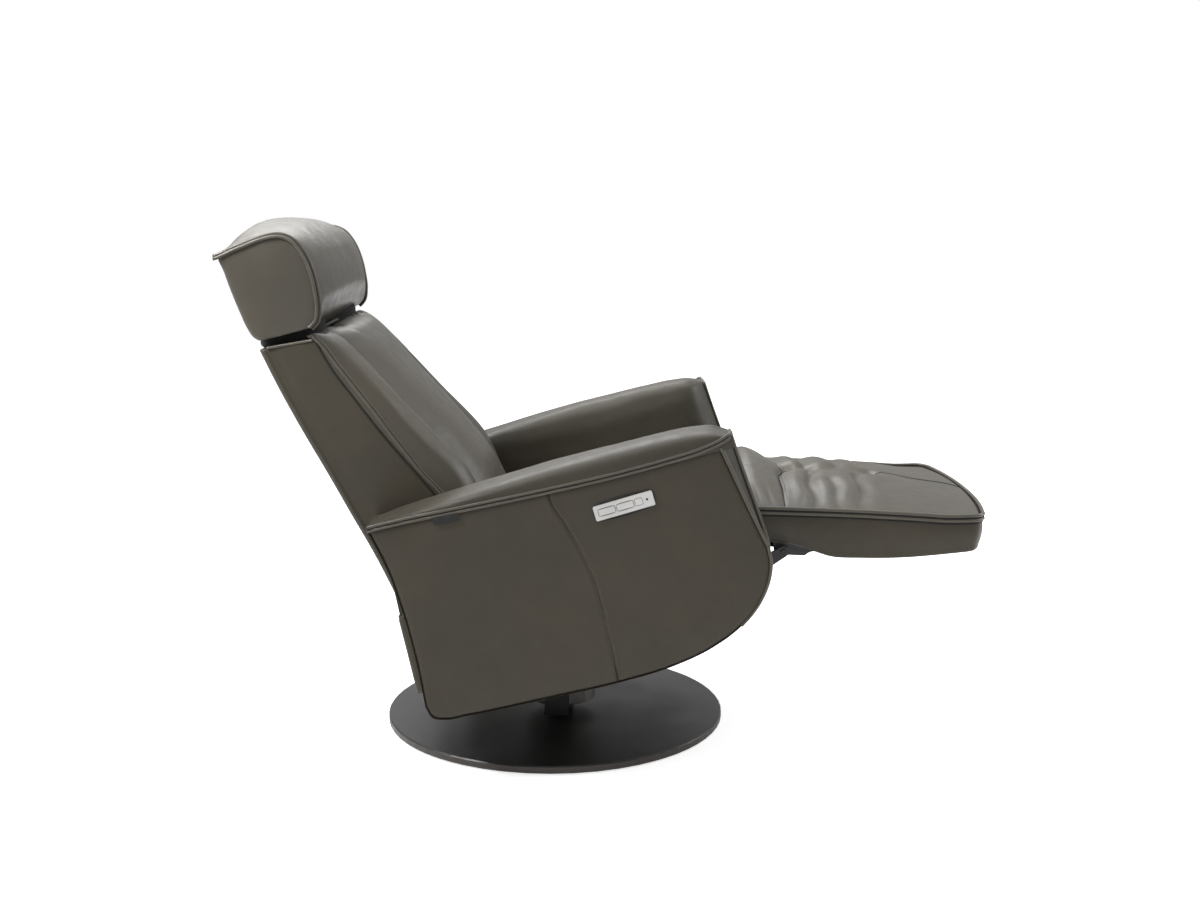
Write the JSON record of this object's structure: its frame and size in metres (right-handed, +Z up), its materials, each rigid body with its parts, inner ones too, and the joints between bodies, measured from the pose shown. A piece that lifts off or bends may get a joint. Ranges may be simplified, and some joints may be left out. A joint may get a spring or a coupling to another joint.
{
  "type": "swivel recliner armchair",
  "caption": "Upholstered leather power recliner armchair with headrest, padded arms and fold-out footrest on a swivelling round disc base.",
  "frame": {"origin": "centre of the round base disc on the floor", "axes": "+X towards the chair's front (sitter's feet), +Y towards the sitter's left, +Z up"},
  "size_m": [1.3478, 0.7842, 0.9768],
  "materials": {
    "leather": "satin",
    "beech": "satin",
    "black_steel": "satin",
    "grey_steel": "satin",
    "bare_steel": "satin",
    "black_plastic": "matte",
    "silver_plastic": "satin",
    "felt": "matte",
    "black_fabric": "matte"
  },
  "bodies": {
    "base": {"floor_pad": "felt", "base_disc": "black_steel", "base_post": "black_steel"},
    "swivel": {"swivel_hub": "grey_steel", "chassis_plate": "black_steel", "chassis_bracket_R": "black_steel", "chassis_bracket_L": "black_steel"},
    "seat": {"tilt_tube": "bare_steel", "tilt_bracket_R": "black_steel", "tilt_bracket_L": "black_steel", "seat_side_board_R": "beech", "seat_side_board_L": "beech", "seat_front_rail": "beech", "seat_rear_rail": "beech", "seat_cross_rail_mid": "black_steel", "seat_cross_rail_rear": "black_steel", "seat_spring_1": "bare_steel", "seat_spring_2": "bare_steel", "seat_spring_3": "bare_steel", "side_panel_R": "leather", "side_panel_L": "leather", "arm_core_R": "leather", "arm_core_L": "leather", "arm_pad_R": "leather", "arm_pad_L": "leather", "arm_tag": "black_fabric", "rear_skirt": "leather", "seat_cushion": "leather", "back_hinge_R": "black_steel", "back_hinge_L": "black_steel", "recline_actuator": "black_plastic", "footrest_actuator": "black_plastic", "control_box": "black_plastic", "control_bezel": "silver_plastic", "indicator_led": "black_plastic"},
    "recline_rod": {"recline_rod": "bare_steel"},
    "footrest_rod": {"footrest_rod": "bare_steel"},
    "recline_rocker": {"recline_rocker": "silver_plastic"},
    "footrest_rocker": {"footrest_rocker": "silver_plastic"},
    "memory_button": {"memory_button": "silver_plastic"},
    "back": {"back_side_board_R": "beech", "back_side_board_L": "beech", "back_bolster_R": "leather", "back_bolster_L": "leather", "back_top_rail": "beech", "back_bottom_rail": "black_steel", "back_rear_panel": "leather", "back_cushion": "leather", "headrest_hinge_bar": "bare_steel"},
    "headrest": {"headrest_core": "leather", "headrest_cushion": "leather", "headrest_arm_R": "bare_steel", "headrest_arm_L": "bare_steel"},
    "footrest_links": {"footrest_torsion_tube": "black_steel", "footrest_link_R": "black_steel", "footrest_link_L": "black_steel"},
    "footrest": {"footrest_base": "leather", "footrest_pad": "leather", "footrest_hinge_R": "black_steel", "footrest_hinge_L": "black_steel"}
  },
  "joints": [
    {"name": "swivel_turn", "type": "hinge", "parent": "base", "child": "swivel", "pos_m": [0.012, 0, 0], "axis": [0, 0, 1], "continuous": true},
    {"name": "seat_tilt", "type": "hinge", "parent": "swivel", "child": "seat", "pos_m": [0.01, 0, 0.15], "axis": [0, 1, 0], "range_deg": [0, 12.5]},
    {"name": "back_recline", "type": "hinge", "parent": "seat", "child": "back", "pos_m": [-0.1678, 0, 0.30519], "axis": [0, 1, 0], "range_deg": [0, 14]},
    {"name": "headrest_tilt", "type": "hinge", "parent": "back", "child": "headrest", "pos_m": [-0.42665, 0, 0.77954], "axis": [0, 1, 0], "range_deg": [0, 30]},
    {"name": "footrest_lift", "type": "hinge", "parent": "seat", "child": "footrest_links", "pos_m": [0.27686, 0, 0.30923], "axis": [0, -1, 0], "range_deg": [0, 47.2]},
    {"name": "footrest_fold", "type": "hinge", "parent": "footrest_links", "child": "footrest", "pos_m": [0.41687, 0, 0.39384], "axis": [0, 1, 0], "range_deg": [0, 123.3]},
    {"name": "recline_rod_slide", "type": "slide", "parent": "seat", "child": "recline_rod", "axis": [-0.9763, 0, -0.2164], "range_m": [0, 0.0258]},
    {"name": "footrest_rod_slide", "type": "slide", "parent": "seat", "child": "footrest_rod", "axis": [-0.9763, 0, -0.2164], "range_m": [0, 0.0412]},
    {"name": "recline_rocker_press", "type": "hinge", "parent": "seat", "child": "recline_rocker", "pos_m": [0.10059, -0.3925, 0.49621], "axis": [-0.284, 0, 0.9588], "range_deg": [-2.5, 2.5], "stiffness_Nm_per_rad": 0.2},
    {"name": "footrest_rocker_press", "type": "hinge", "parent": "seat", "child": "footrest_rocker", "pos_m": [0.13146, -0.3925, 0.50535], "axis": [-0.284, 0, 0.9588], "range_deg": [-2.5, 2.5], "stiffness_Nm_per_rad": 0.2},
    {"name": "memory_button_press", "type": "slide", "parent": "seat", "child": "memory_button", "axis": [0, 1, 0], "range_m": [0, 0.0008], "stiffness_N_per_m": 300}
  ],
  "couplings": [
    {"joint": "back_recline", "follows": "seat_tilt", "ratio": 1.12},
    {"joint": "recline_rod_slide", "follows": "seat_tilt", "m_per_rad": 0.1178},
    {"joint": "footrest_fold", "follows": "footrest_lift", "ratio": 2.61},
    {"joint": "footrest_rod_slide", "follows": "footrest_lift", "m_per_rad": 0.04985}
  ]
}
